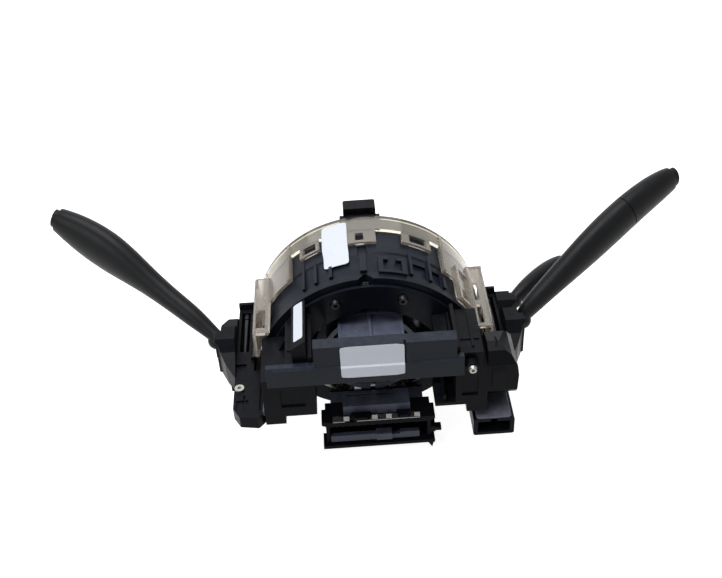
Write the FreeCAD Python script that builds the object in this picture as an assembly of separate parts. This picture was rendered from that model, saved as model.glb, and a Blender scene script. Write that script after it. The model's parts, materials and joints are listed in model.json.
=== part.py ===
import FreeCAD, Part
import math
import os

# Steering column switch module with clock spring, in millimetres.
# The column axis is Y. The steering wheel is at -Y, the column comes in from +Y.
# +X is the driver's right, +Z is up. Y = 0 is the front face of the clear cover.

V = FreeCAD.Vector

# clock spring drum
coverRadius = 60.0
coverThick = 1.6
skirtLength = 12.0
coverGap = 0.3
drumWall = 2.6
ringLength = 20.0
floorThick = 2.0
archLength = 50.0
archTaper = 1.4
lipWidth = 2.5
lipInnerRadius = 41.0
archFrom = -4.0
archTo = 184.0

# rotor
rotorRadius = 31.0
bearingGap = 0.06
rotorWall = 3.4
webThick = 3.2
faceGap = 0.6
rotorFaceRadius = 52.0
rotorFaceThick = 2.4
hubBoreRadius = 12.5
hubWall = 3.6
hubFront = 7.0
hubBack = 12.0
splineCount = 20
splineDepth = 0.8
codeDiscRadius = 46.0
codeSlots = 36
plugWidth = 17.0
plugDepth = 8.0
plugBottom = 49.0
plugTop = 62.8

# ribbon cable coil
ribbonClear = 4.0
ribbonInner = rotorRadius + 3.0
ribbonOuter = coverRadius - coverThick - coverGap - drumWall - ribbonClear
ribbonTurns = 4
ribbonThick = 0.5
ribbonWidth = 12.0

# column collar
columnRadius = 23.0
collarWall = 2.6
collarFront = 29.0
collarBack = 40.0
wingThick = 4.0
shelfWidth = 31.0
shelfTop = 30.0
shelfThick = 2.4
ribHeight = 1.6
slitWidth = 2.4
clampScrewRadius = 2.5
earLength = 8.0
earDrop = 12.0

# rear body
cheekInnerLeft = 29.0
cheekInnerRight = 39.0
cheekOuter = coverRadius - 5.5
cheekTop = 36.0
cheekBottom = 2.0
cheekBack = 84.0
sheet = 2.0
cheekStepIn = 13.0
cheekStepDrop = 10.0

# bridge beam
beamBack = 88.0
beamBottom = 25.5
beamStrip = 9.6
beamTop = 47.5
beamDepth = 6.5
beamUpperLeft = 28.0

# side rails
railClear = 1.0
railWidth = 9.5
railInner = coverRadius + railClear
railOuter = railInner + railWidth
railFront = 0.0
railBack = 84.5
railBackRight = 68.0
railTop = 4.0
railThick = 7.0
rodRadius = 2.2
railStep = 1.4
railScrewRadius = 1.6
railScrewInset = 2.8
railScrewLeft = 65.3
railScrewRight = 52.5

# stalk joints
pivotOut = railOuter + 5.1
pivotY = 31.2
pivotZ = 5.0
collarOut = railOuter + 10.1
mouthFront = 9.2
mouthBack = 6.6
mouthHalfZ = 8.8
flareFront = 22.0
signFlareFront = 13.2
flareBack = 24.5
flareBelow = 12.0
barrelRadius = 2.8
pinRadius = 2.0
pinFit = 0.05
jointGap = 0.4
cruiseY = 6.5
cruiseZ = -1.0
cruiseMouthFront = 6.4
cruiseMouthBack = 5.6
cruiseMouthZ = 7.0
cruiseFlareFront = 9.0
cruiseFlareBack = 11.0
cruiseFlareBelow = 6.0
collarLip = 1.6
capTravel = 1.4
switchDrop = 16.0
cruiseDrop = 12.0

# electronics and connectors
trayTop = 22.5 - coverRadius
trayBottom = 7.5 - coverRadius
trayLeft = 24.0
trayRight = -27.0
trayFront = 29.0
trayBack = 40.0
lidThick = 1.6
deckLeft = 17.0
deckRight = -19.0
deckTop = -28.0
deckShort = 3.6
boardThick = 1.6
connLeft = 29.0
connRight = -32.0
connFront = 40.2
connBack = 54.0
connTop = -34.5
connHeight = 20.5
flangeThick = 2.2
pinPitch = 4.0
lockTravel = 4.0
socketLeft = 6.5 - cheekOuter
socketRight = 2.0 - railOuter
socketFront = 62.0
socketBack = 85.5
socketTop = -8.0
socketHeight = 11.0


def box(x0, x1, y0, y1, z0, z1):
    return Part.makeBox(abs(x1 - x0), abs(y1 - y0), abs(z1 - z0), V(min(x0, x1), min(y0, y1), min(z0, z1)))


def rodY(radius, y0, y1, x=0.0, z=0.0):
    return Part.makeCylinder(radius, y1 - y0, V(x, y0, z), V(0, 1, 0))


def tubeY(outer, inner, y0, y1, x=0.0, z=0.0):
    return rodY(outer, y0, y1, x, z).cut(rodY(inner, y0 - 1, y1 + 1, x, z))


def sector(inner, outer, y0, y1, a0, a1):
    # annular sector about Y, angles from +X towards +Z
    profile = Part.makePolygon([V(inner, y0, 0), V(outer, y0, 0), V(outer, y1, 0), V(inner, y1, 0),
                                V(inner, y0, 0)])
    solid = Part.Face(profile).revolve(V(0, 0, 0), V(0, 1, 0), -(a1 - a0))
    solid.rotate(V(0, 0, 0), V(0, 1, 0), -a0)
    return solid


def revolved(points, a0, a1):
    profile = Part.makePolygon([V(r, y, 0) for r, y in points + points[:1]])
    solid = Part.Face(profile).revolve(V(0, 0, 0), V(0, 1, 0), -(a1 - a0))
    solid.rotate(V(0, 0, 0), V(0, 1, 0), -a0)
    return solid


def prismX(points, x0, x1):
    # profile given as (y, z), extruded along X
    wire = Part.makePolygon([V(x0, y, z) for y, z in points + points[:1]])
    return Part.Face(wire).extrude(V(x1 - x0, 0, 0))


def prismY(points, y0, y1):
    wire = Part.makePolygon([V(x, y0, z) for x, z in points + points[:1]])
    return Part.Face(wire).extrude(V(0, y1 - y0, 0))


def prismZ(points, z0, z1):
    wire = Part.makePolygon([V(x, y, z0) for x, y in points + points[:1]])
    return Part.Face(wire).extrude(V(0, 0, z1 - z0))


def turned(shape, angle):
    copy = shape.copy()
    copy.rotate(V(0, 0, 0), V(0, 1, 0), -angle)
    return copy


def mirrored(shape):
    return shape.mirror(V(0, 0, 0), V(1, 0, 0))


def softened(shape, radius, pick):
    edges = [edge for edge in shape.Edges if pick(edge)]
    return shape.makeFillet(radius, edges)


def joined(parts):
    solid = parts[0]
    if len(parts) > 1:
        solid = parts[0].multiFuse(parts[1:])
    return solid.removeSplitter()


os.makedirs("parts", exist_ok=True)


def save(name, shape):
    shape.exportStep("parts/" + name + ".step")


# clock spring stator: full front ring, bearing floor, deep upper arch with an inner lip
drumRadius = coverRadius - coverThick - coverGap
archRadius = drumRadius - archTaper
ring = tubeY(drumRadius, drumRadius - drumWall, coverThick + coverGap, ringLength)
floor = tubeY(drumRadius, rotorRadius, ringLength - floorThick, ringLength)
save("drum_housing", joined([ring, floor]))

# upper arch behind the ring, tapering to a bead at the back
lipFront = archLength - lipWidth
beadRadius = archRadius + 0.9
arch = revolved([
    (drumRadius, ringLength),
    (drumRadius, ringLength + 9.0),
    (drumRadius - 0.7, ringLength + 10.0),
    (archRadius, lipFront - lipWidth),
    (beadRadius, lipFront - lipWidth + 0.5),
    (beadRadius, lipFront),
    (archRadius - drumWall, lipFront),
    (drumRadius - drumWall, ringLength),
], archFrom, archTo)
# peg with its groove, and the notch below it
arch = arch.cut(sector(drumRadius - 1.0, coverRadius, 24.0, 31.0, 86.0, 90.5))
peg = sector(archRadius - 1.5, drumRadius + 0.9, 31.0, 45.0, 86.6, 89.9)
notch = prismZ([(-3.4, archLength + 1), (1.2, 45.8), (5.8, archLength + 1)], lipInnerRadius + 8.0,
               coverRadius + 2)
# latch pocket as a raised frame with an open end
frameOuter = sector(archRadius - 1.2, drumRadius + 1.0, 34.0, 46.5, 95.5, 109.5)
frameInner = sector(archRadius - 1.6, drumRadius + 2.0, 36.4, 44.6, 98.0, 107.0)
frameMouth = sector(archRadius - 1.6, drumRadius + 2.0, 33.0, 37.0, 100.5, 104.5)
latchFrame = frameOuter.cut(frameInner).cut(frameMouth)
drumRibs = []
for angle, start in [(64.0, 30.0), (72.0, 36.0), (112.0, 27.0), (122.5, 26.0), (131.0, 36.0), (57.0, 24.0)]:
    drumRibs.append(sector(archRadius - 1.4, drumRadius + 0.5, start, archLength - 5.5, angle - 0.8,
                           angle + 0.8))
arch = joined([arch, peg, latchFrame] + drumRibs).cut(notch)
# stepped panels between the ribs
for first, last in [(113.4, 121.0), (124.0, 129.6)]:
    arch = arch.cut(sector(archRadius - 1.0, coverRadius, 34.0, archLength - 7.0, first, last))
save("drum_arch", arch)

# lip that closes the arch inwards, with holes for the two rear plate screws
lip = sector(lipInnerRadius, beadRadius, lipFront, archLength, archFrom, archTo)
plateScrewRadius = 1.7
plateScrewAngle = math.radians(69.5)
plateScrewCircle = 0.5 * (lipInnerRadius + archRadius - 3.0)
plateScrewX = plateScrewCircle * math.cos(plateScrewAngle)
plateScrewZ = plateScrewCircle * math.sin(plateScrewAngle)
for side in (1, -1):
    lip = lip.cut(rodY(plateScrewRadius, lipFront - 1, archLength + 1, side * plateScrewX, plateScrewZ))
save("arch_lip", lip.cut(notch))

# clear cover: flat front ring, skirt, and legs with windows that snap over the drum
coverHole = rotorRadius + faceGap
cover = revolved([
    (coverHole, 0.0),
    (coverRadius, 0.0),
    (coverRadius, skirtLength),
    (coverRadius - coverThick, skirtLength),
    (coverRadius - coverThick, coverThick),
    (coverHole, coverThick),
], 0.0, 360.0)
legs = []
# first angle, last angle and end of each leg
for first, last, end in [
    (77.0, 95.5, 23.0),
    (56.0, 67.0, 21.0),
    (108.5, 124.0, 21.0),
    (27.0, 50.0, 32.0),
    (10.0, 30.0, 48.5),
    (130.0, 150.0, 33.0),
    (138.0, 170.0, 48.5),
]:
    legs.append(sector(coverRadius - coverThick, coverRadius, skirtLength, end, first, last))
legs = joined(legs)
for first, last, y0, y1 in [
    (85.5, 89.5, 15.0, 21.0),
    (57.8, 65.2, 14.0, 19.4),
    (112.5, 121.5, 13.5, 19.2),
    (14.0, 24.0, 36.0, 46.0),
    (140.5, 147.0, 36.5, 45.0),
    (150.5, 157.5, 26.5, 34.5),
    (150.5, 157.5, 37.0, 45.0),
    (161.5, 168.5, 26.5, 34.5),
    (161.5, 168.5, 37.0, 45.0),
]:
    legs = legs.cut(sector(coverRadius - coverThick - 1, coverRadius + 1, y0, y1, first, last))
legRibs = []
coverRibs = []
for angle in (139.0, 148.8):
    legRibs.append(sector(coverRadius - 0.6, coverRadius + 1.6, 22.0, 48.5, angle - 0.8, angle + 0.8))
for start in (22.0, 46.8):
    legRibs.append(sector(coverRadius - 0.6, coverRadius + 1.4, start, start + 1.7, 138.5, 149.0))
for angle in (11.0, 29.0):
    legRibs.append(sector(coverRadius - 0.6, coverRadius + 1.8, skirtLength, 48.5, angle - 0.8,
                          angle + 0.8))
legRibs.append(sector(coverRadius - 0.6, coverRadius + 1.8, 46.8, 48.5, 10.5, 29.5))
legRibs.append(sector(coverRadius - 0.6, coverRadius + 0.9, 33.4, 34.6, 10.5, 29.5))
for angle in (27.8, 49.0, 131.0):
    legRibs.append(sector(coverRadius - 0.6, coverRadius + 0.9, skirtLength, 32.0, angle - 0.7,
                          angle + 0.7))
    coverRibs.append(sector(coverRadius - 0.6, coverRadius + 0.9, 3.0, skirtLength, angle - 0.7,
                            angle + 0.7))
save("clear_cover", joined([cover] + coverRibs))


def clip(outer, level, foot, y0, y1):
    # flat shoulder of a side leg: a level plate from the skirt outwards and a wall down to the leg
    root = math.sqrt(coverRadius ** 2 - level ** 2) - 1.2
    return prismY([
        (root, level),
        (outer - 1.0, level),
        (outer, level - 1.0),
        (outer, foot),
        (outer - coverThick, foot),
        (outer - coverThick, level - coverThick),
        (root, level - coverThick),
    ], y0, y1).cut(rodY(coverRadius - 0.5, skirtLength, y1 + 1)).cut(rodY(coverRadius, y0 - 1, skirtLength))


clipLeft = clip(coverRadius - 1.4, 32.5, 17.0, 12.0, 56.0)
clipLeft = clipLeft.cut(box(coverRadius - 7.5, coverRadius - 3.0, 38.0, 52.0, 29.0, 34.0))
clipRight = mirrored(clip(coverRadius + 1.4, 28.2, 12.0, 8.0, 56.5))
for start in (22.0, 40.0):
    clipRight = clipRight.cut(box(2.8 - coverRadius, 5.4 - coverRadius, start, start + 14.0, 24.0, 29.0))
clipEnd = mirrored(prismY([
    (coverRadius - 6.0, 28.2),
    (coverRadius + 1.4, 28.2),
    (coverRadius + 1.4, 12.0),
    (coverRadius + 0.2, 12.0),
], 8.0, 9.6)).cut(rodY(coverRadius, 0, 20))
save("cover_legs", joined([legs, clipLeft, clipRight, clipEnd] + legRibs))

# flat ribbon cable, wound between the rotor and the drum wall: half circles about two centres
ribbonPitch = (ribbonOuter - ribbonInner) / ribbonTurns


def ribbonEdges(offset):
    edges = []
    for i in range(2 * ribbonTurns):
        radius = ribbonInner + 0.5 * ribbonPitch * i + offset
        centre = 0.5 * ribbonPitch * (i % 2)
        up = -1 if i % 2 else 1
        start = V(centre + up * radius, coverThick + coverGap, 0)
        middle = V(centre, coverThick + coverGap, up * radius)
        end = V(centre - up * radius, coverThick + coverGap, 0)
        edges.append(Part.Arc(start, middle, end).toShape())
    return edges


innerEdges = ribbonEdges(0.0)
outerEdges = ribbonEdges(ribbonThick)
ribbonStart = Part.makeLine(innerEdges[0].Vertexes[0].Point, outerEdges[0].Vertexes[0].Point)
ribbonEnd = Part.makeLine(innerEdges[-1].Vertexes[-1].Point, outerEdges[-1].Vertexes[-1].Point)
ribbonWire = Part.Wire(Part.__sortEdges__(innerEdges + [ribbonEnd] + outerEdges + [ribbonStart]))
save("flat_ribbon", Part.Face(ribbonWire).extrude(V(0, ribbonWidth, 0)))

# dark plate that closes the arch behind the lip, with its two screws
plateThick = 1.6
rearPlate = sector(lipInnerRadius - 2.6, archRadius - 3.0, archLength, archLength + plateThick, 24.0, 156.0)
for side in (1, -1):
    plateHole = rodY(plateScrewRadius + 0.2, archLength - 1, archLength + 3, side * plateScrewX,
                     plateScrewZ)
    rearPlate = rearPlate.cut(plateHole)
plateNotch = sector(lipInnerRadius - 6, lipInnerRadius - 1.0, archLength - 1, archLength + 3, 84.0, 96.0)
rearPlate = rearPlate.cut(plateNotch)
save("rear_plate", rearPlate)


def screwY(radius, headRadius, headHeight, y0, y1, x, z):
    # screw along Y, shank from y0 to y1, head above y1 with a socket
    shank = rodY(radius, y0, y1, x, z)
    head = Part.makeCone(headRadius, headRadius * 0.76, headHeight, V(x, y1, z), V(0, 1, 0))
    corners = [(x + 0.42 * headRadius * math.cos(i * math.pi / 3),
                z + 0.42 * headRadius * math.sin(i * math.pi / 3))
               for i in range(6)]
    socket = prismY(corners, y1 + headHeight * 0.4, y1 + headHeight + 1)
    return shank.fuse(head).cut(socket)


plateScrews = []
for side in (1, -1):
    plateScrews.append(screwY(plateScrewRadius - 0.05, 2.7, 1.8, archLength - lipWidth - 0.8,
                              archLength + plateThick, side * plateScrewX, plateScrewZ))
save("plate_screws", Part.Compound(plateScrews))

# rotor: hub sleeve, bearing sleeve with its rear retaining flange, and the web between them
rotorOuter = rotorRadius - bearingGap
rotorFaceBack = -faceGap
rotorFaceFront = rotorFaceBack - rotorFaceThick
flangeBack = ringLength + 0.4
retainerThick = 1.6
hubOuter = hubBoreRadius + hubWall
sleeveInner = rotorOuter - rotorWall
save("rotor_hub", tubeY(hubOuter, hubBoreRadius, -hubFront, hubBack))
save("rotor_sleeve", revolved([
    (sleeveInner, rotorFaceFront),
    (rotorOuter, rotorFaceFront),
    (rotorOuter, flangeBack),
    (rotorOuter + 2.2, flangeBack),
    (rotorOuter + 2.2, flangeBack + retainerThick),
    (sleeveInner, flangeBack + retainerThick),
], 0.0, 360.0))
web = tubeY(sleeveInner, hubOuter, rotorFaceFront, rotorFaceFront + webThick)
webHoles = []
for i in range(6):
    hole = sector(hubOuter + 2.5, sleeveInner - 2.0, rotorFaceFront - 1, rotorFaceFront + webThick + 1,
                  -14.0, 14.0)
    webHoles.append(turned(hole, 60.0 * i + 30.0))
webRibs = []
for i in range(6):
    webRib = sector(hubOuter, sleeveInner, rotorFaceFront + webThick - 0.2,
                    rotorFaceFront + webThick + 2.2, -2.0, 2.0)
    webRibs.append(turned(webRib, 60.0 * i))
save("rotor_web", joined([web.cut(Part.Compound(webHoles))] + webRibs))

splineRing = tubeY(hubBoreRadius, hubBoreRadius - 1.4, -hubFront + 1.5, hubBack - 1.5)
grooves = []
for i in range(splineCount):
    groove = box(hubBoreRadius - 2.6, hubBoreRadius - 1.4 + splineDepth, -10, 20, -0.3, 0.3)
    grooves.append(turned(groove, i * 360.0 / splineCount))
splineRing = splineRing.cut(Part.Compound(grooves))
save("hub_spline", splineRing)

# rotor face: thin disc with ribs, radial arm to the wheel plug, and windows
face = tubeY(rotorFaceRadius, rotorOuter, rotorFaceFront, rotorFaceBack)
plugLeft = 10.0
plugRight = plugLeft - plugWidth
arm = box(plugLeft + 2.0, plugRight - 2.0, rotorFaceFront, rotorFaceBack, 44.0, plugTop - 4.0)
face = joined([face, arm])
for angle, span in [(18.0, 20.0), (142.0, 20.0), (232.0, 14.0), (308.0, 14.0)]:
    face = face.cut(sector(rotorOuter + 5.0, rotorFaceRadius - 5.0, -6.0, 1.0, angle, angle + span))
faceRibs = [tubeY(rotorFaceRadius, rotorFaceRadius - 1.6, rotorFaceFront - 1.6, rotorFaceFront)]
for i in range(12):
    rib = sector(rotorOuter + 0.6, rotorFaceRadius - 1.0, rotorFaceFront - 1.2, rotorFaceFront + 0.2,
                 -0.9, 0.9)
    if i not in (3, 9):
        faceRibs.append(turned(rib, 30.0 * i))
face = joined([face] + faceRibs)
face = face.cut(box(plugLeft, plugRight, rotorFaceFront - 5, rotorFaceFront, plugBottom - 1, plugTop))
save("rotor_face", face)

# wheel plug at the top of the rotor: shroud open towards the driver, two small back holes
plugWall = 1.5
plug = box(plugLeft, plugRight, rotorFaceFront - plugDepth, rotorFaceFront, plugBottom, plugTop)
plug = softened(plug, 1.2, lambda e: abs(e.tangentAt(e.FirstParameter).y) > 0.9)
plug = plug.cut(box(plugLeft - plugWall, plugRight + plugWall, rotorFaceFront - plugDepth - 1,
                    rotorFaceFront - 2.0, plugBottom + plugWall, plugTop - plugWall))
plugMid = 0.5 * (plugLeft + plugRight)
for side in (1, -1):
    plug = plug.cut(rodY(0.9, rotorFaceFront - 1.2, rotorFaceFront + 1, plugMid + side * 3.8,
                         plugTop - 2.8))
save("wheel_plug", plug)

plugPins = []
plugPinRoot = rotorFaceFront - 2.0
for row in (0, 1):
    for i in range(4):
        x = plugMid + (i - 1.5) * 3.2
        z = plugBottom + 5.2 + row * 4.4
        plugPins.append(box(x - 0.4, x + 0.4, plugPinRoot - 3.0, plugPinRoot, z - 0.4, z + 0.4))
save("wheel_plug_pins", Part.Compound(plugPins))

# airbag socket on the lower rotor face
airX = 13.0
airTop = -35.5
airBottom = -47.5
airbag = box(-airX, airX, rotorFaceFront - 9.0, rotorFaceFront - 1.7, airBottom, airTop)
airbag = softened(airbag, 2.0, lambda e: abs(e.tangentAt(e.FirstParameter).y) > 0.9)
airbag = airbag.cut(rodY(3.6, rotorFaceFront - 10, rotorFaceFront - 3.2, -6.2, 0.5 * (airTop + airBottom)))
airbag = airbag.cut(rodY(3.6, rotorFaceFront - 10, rotorFaceFront - 3.2, 6.2, 0.5 * (airTop + airBottom)))
airFoot = box(-airX + 2, airX - 2, rotorFaceFront - 1.9, rotorFaceFront, airBottom + 1.5, airTop - 1.5)
airFoot = airFoot.cut(sector(0.1, 1.0, -20, 1, 0, 1))
save("airbag_socket", joined([airbag, airFoot]).cut(faceRibs[0]))

# driver pegs that the wheel hub picks up
pegs = []
for angle in (0.0, 180.0):
    peg2 = rodY(2.6, rotorFaceFront - 7.0, rotorFaceFront, 23.0, 0.0)
    pegs.append(turned(peg2, angle))
save("driver_pegs", Part.Compound(pegs))

# code disc behind the bearing floor, and the cancelling cam
discY = flangeBack + retainerThick
codeDisc = tubeY(codeDiscRadius, rotorOuter - rotorWall, discY, discY + 0.8)
slots = []
for i in range(codeSlots):
    slot = sector(codeDiscRadius - 5.5, codeDiscRadius - 1.5, discY - 1, discY + 2, -2.4, 2.4)
    slots.append(turned(slot, i * 360.0 / codeSlots))
codeDisc = codeDisc.cut(Part.Compound(slots))
save("code_disc", codeDisc)

camY = discY + 0.8
cam = tubeY(rotorOuter, rotorOuter - rotorWall, camY, camY + 4.0)
lobes = []
for angle in (0.0, 180.0):
    lobes.append(sector(rotorOuter - 1.0, rotorOuter + 3.4, camY, camY + 4.0, angle - 11.0, angle + 11.0))
save("cancel_cam", joined([cam] + lobes))

# light gate of the angle sensor, hung from the arch lip over the code disc edge
gateY = discY - 1.0
gate = box(-9.0, 9.0, gateY - 0.1, gateY + 9.0, codeDiscRadius - 6.0, archRadius - drumWall - 0.8)
gate = gate.cut(box(-10.0, 10.0, discY - 0.8, discY + 1.8, codeDiscRadius - 7.0, codeDiscRadius + 1.0))
gateFoot = box(-6.0, 6.0, gateY + 4.0, gateY + 9.0, archRadius - drumWall - 2.0,
               archRadius - drumWall + 0.6)
gate = gate.fuse(gateFoot).cut(arch)
gateSolids = sorted(gate.Solids, key=lambda s: -s.Volume)
save("light_gate", gateSolids[0].removeSplitter())

# column collar: split ring with clamp ears, carried by two wings from the arch wall
collarOuter = columnRadius + collarWall
tube = rodY(collarOuter, collarFront, collarBack)
wingEnd = drumRadius - drumWall - 1.0
wing = box(-wingEnd - 3.0, wingEnd + 3.0, collarFront + 1.0, collarFront + 1.0 + wingThick, 3.0,
           3.0 + wingThick)
wing = wing.common(rodY(wingEnd + 0.1, 0, 100))
gussetRight = prismY([
    (collarOuter - 1.5, 3.0),
    (collarOuter + 16.0, 3.0),
    (collarOuter - 1.5, -13.0),
], collarFront + 2.0, collarFront + 4.0)
gussets = [gussetRight, mirrored(gussetRight)]
earHalf = 6.5
ears = box(-earHalf, earHalf, collarFront, collarFront + earLength, -collarOuter - earDrop + 2.0,
           -collarOuter + 3.0)
ears = softened(ears, 3.0,
                lambda e: abs(e.tangentAt(e.FirstParameter).x) > 0.9 and e.CenterOfMass.z < -collarOuter - 5)
collar = joined([tube, wing, ears] + gussets)
collar = collar.cut(rodY(columnRadius, 0, 100))
collar = collar.cut(box(-0.5 * slitWidth, 0.5 * slitWidth, 0, collarBack + 1.0, -60, -columnRadius + 3))
clampZ = -collarOuter - 0.5 * earDrop + 2.0
clampY = collarFront + 0.5 * earLength
clampHole = Part.makeCylinder(clampScrewRadius + 0.25, 60, V(-30, clampY, clampZ), V(1, 0, 0))
collar = collar.cut(clampHole)
save("column_collar", collar)

clampScrew = Part.makeCylinder(clampScrewRadius, 2 * earHalf + 3.0, V(-earHalf - 3.0, clampY, clampZ),
                               V(1, 0, 0))
clampHead = Part.makeCylinder(clampScrewRadius + 2.0, 3.6, V(earHalf, clampY, clampZ), V(1, 0, 0))
socketCorners = [(clampY + 1.9 * math.cos(i * math.pi / 3), clampZ + 1.9 * math.sin(i * math.pi / 3))
                 for i in range(6)]
clampSocket = prismX(socketCorners, earHalf + 1.6, earHalf + 4.6)
save("clamp_screw", clampScrew.fuse(clampHead).cut(clampSocket))


# shelf over the column between the arch and the beam, with a T rib and lower side steps
shelfFront = archLength + plateThick + 0.2
shelfHalf = 0.5 * shelfWidth
shelfStart = 44.0
shelfParts = [
    box(-shelfHalf, shelfHalf, shelfStart, cheekBack, shelfTop - shelfThick, shelfTop),
    box(-0.4, 1.2, shelfStart, cheekBack, shelfTop - 0.5, shelfTop + ribHeight),
    box(-shelfHalf - 2.0, shelfHalf + 0.6, shelfStart, shelfStart + 1.8, shelfTop - 0.5,
        shelfTop + ribHeight + 0.6),
    box(-shelfHalf - 0.5, shelfHalf + 0.5, shelfFront + 17.0, shelfFront + 17.8, shelfTop - 0.5,
        shelfTop + 0.5),
]
for side in (1, -1):
    shelfParts.append(box(side * (shelfHalf - 1.0), side * (shelfHalf + 0.8), shelfStart, cheekBack,
                          shelfTop - 4.6, shelfTop + 0.6))
save("column_shelf", joined(shelfParts))


# rear cheeks: thin-walled stepped boxes beside the column, open below
def cheek(inner, recessFrom, recessTo, flange):
    stepX = inner + cheekStepIn
    stepZ = cheekTop - cheekStepDrop
    profile = [(inner, cheekBottom), (inner, cheekTop), (stepX, cheekTop), (stepX, stepZ),
               (cheekOuter, stepZ), (cheekOuter, cheekBottom)]
    hollowProfile = [(inner + sheet, cheekBottom - 1), (inner + sheet, cheekTop - sheet),
                     (stepX - sheet, cheekTop - sheet), (stepX - sheet, stepZ - sheet),
                     (cheekOuter - sheet, stepZ - sheet), (cheekOuter - sheet, cheekBottom - 1)]
    shell = prismY(profile, shelfFront, cheekBack).cut(prismY(hollowProfile, shelfFront + 3.0,
                                                              cheekBack - sheet))
    recess = box(recessFrom, recessTo, cheekBack - 1.0, cheekBack + 1, 8.0, 20.0)
    shell = shell.cut(recess)
    postRib = box(inner, inner + 1.8, shelfFront, cheekBack, cheekTop - 1, cheekTop + 4.0)
    midRib = box(inner + 8.0, inner + 9.2, shelfFront + 3.0, cheekBack - 4.0, cheekTop - 1, cheekTop + 0.8)
    slopeFoot = min(stepX + 4.0, cheekOuter - 0.3)
    slopeRib = prismY([(stepX - 0.8, cheekTop - 0.6), (slopeFoot, stepZ - 0.2), (stepX - 0.8, stepZ - 0.2)],
                      shelfFront + 9.0, shelfFront + 10.6)
    topSeam = box(inner + 3.0, stepX - 1.0, shelfFront + 22.0, shelfFront + 23.0, cheekTop - 0.6,
                  cheekTop + 0.7)
    foot = box(cheekOuter - 10.0, cheekOuter, shelfFront, cheekBack, -3.0, cheekBottom + 0.5)
    foot = foot.cut(box(cheekOuter - 8.0, cheekOuter - sheet, shelfFront - 1, cheekBack - sheet, -4, 10))
    parts = [shell, postRib, midRib, slopeRib, topSeam, foot]
    if flange > 0:
        # raised half round strip beside the shelf, and the low platform under the beam
        stripTop = shelfTop + 3.6
        parts.append(box(inner - flange, inner + 1.0, shelfFront, cheekBack, stripTop - 1.6, stripTop))
        parts.append(box(inner - flange, inner - flange + 1.4, shelfFront, cheekBack, stripTop - 7.0,
                         stripTop))
        parts.append(prismY([(inner - 2.2, stripTop - 0.4), (inner - 1.4, stripTop + 1.4),
                             (inner - 0.4, stripTop + 1.4), (inner + 0.4, stripTop - 0.4)], shelfFront,
                             cheekBack - 3.0))
        parts.append(box(inner - flange - 1.5, inner + 1.0, shelfFront + 16.0, cheekBack, cheekBottom,
                         cheekBottom + 2.0))
        parts.append(box(inner - flange - 1.5, inner + 1.0, shelfFront + 16.0, shelfFront + 18.0,
                         cheekBottom, cheekBottom + 9.0))
        parts.append(box(inner - flange + 2.5, inner - flange + 4.0, shelfFront + 16.0, cheekBack - 1.0,
                         cheekBottom, cheekBottom + 6.0))
    return joined(parts)


leftCheek = cheek(cheekInnerLeft, cheekInnerLeft + 5.0, cheekInnerLeft + 17.0, 0.0)
# slanting gusset beside the shelf
gusset = prismZ([
    (cheekInnerLeft - 7.0, shelfFront),
    (cheekInnerLeft - 7.4, shelfFront + 23.0),
    (cheekInnerLeft + 0.5, shelfFront + 23.0),
], cheekTop - 2.0, cheekTop)
gussetWeb = box(cheekInnerLeft - 1.5, cheekInnerLeft + 0.5, shelfFront + 18.0, shelfFront + 23.0,
                shelfTop - 4.0, cheekTop - 1.0)
# raised block with a sloping top for the narrow label
blockInner = cheekInnerLeft + 2.4
blockOuter = cheekInnerLeft + 9.2
labelBlock = prismY([
    (blockInner, cheekTop - 1.0),
    (blockInner, beamTop + 0.9),
    (blockInner + 0.8, beamTop + 0.9),
    (blockOuter, beamTop - 3.3),
    (blockOuter, cheekTop - 1.0),
], shelfFront, cheekBack - 1.0)
labelHollow = prismY([
    (blockInner + 1.6, cheekTop - 2.0),
    (blockInner + 1.6, beamTop - 1.6),
    (blockOuter - 1.6, beamTop - 5.4),
    (blockOuter - 1.6, cheekTop - 2.0),
], shelfFront + 2.0, cheekBack - 3.0)
save("cheek_left", joined([leftCheek, gusset, gussetWeb, labelBlock.cut(labelHollow)]))
save("cheek_right", mirrored(cheek(cheekInnerRight, cheekInnerRight + 3.0, cheekInnerRight + 11.0, 8.5)))

# bridge beam over the column: folded profile with end strip and inner webs
frontEdge = beamBack - beamDepth
beamUpper = prismX([
    (beamBack, beamBottom),
    (beamBack, beamBottom + beamStrip),
    (beamBack - 0.8, beamBottom + beamStrip + 0.6),
    (beamBack - 1.2, beamTop),
    (frontEdge, beamTop + 1.0),
    (frontEdge, beamTop - 1.2),
    (beamBack - 4.0, beamTop - 2.2),
    (beamBack - 4.0, beamBottom),
], -cheekInnerRight, beamUpperLeft)
beamLower = prismX([
    (beamBack, beamBottom),
    (beamBack, beamBottom + beamStrip),
    (beamBack - 1.4, beamBottom + beamStrip + 1.4),
    (cheekBack, beamBottom + beamStrip + 1.4),
    (cheekBack, beamBottom),
], -cheekOuter + 12.0, cheekOuter - 3.5)
webs = []
for x in (-cheekInnerRight, -22.0, shelfHalf + 3.0, beamUpperLeft - 2.0):
    webs.append(prismX([
        (beamBack - 3.0, beamBottom + 2.0),
        (beamBack - 3.0, beamTop - 1.5),
        (frontEdge, beamTop - 0.5),
        (frontEdge, beamTop - 6.0),
        (cheekBack, shelfTop + 4.0),
        (cheekBack, beamBottom + 2.0),
    ], x, x + 2.0))
beam = joined([beamUpper, beamLower] + webs)
beam = beam.cut(box(-14.0, -15.2, beamBack - 3.0, beamBack + 1, beamBottom + beamStrip, beamTop + 2))
save("bridge_beam", beam)


railScrewX = railOuter - railScrewInset


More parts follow.
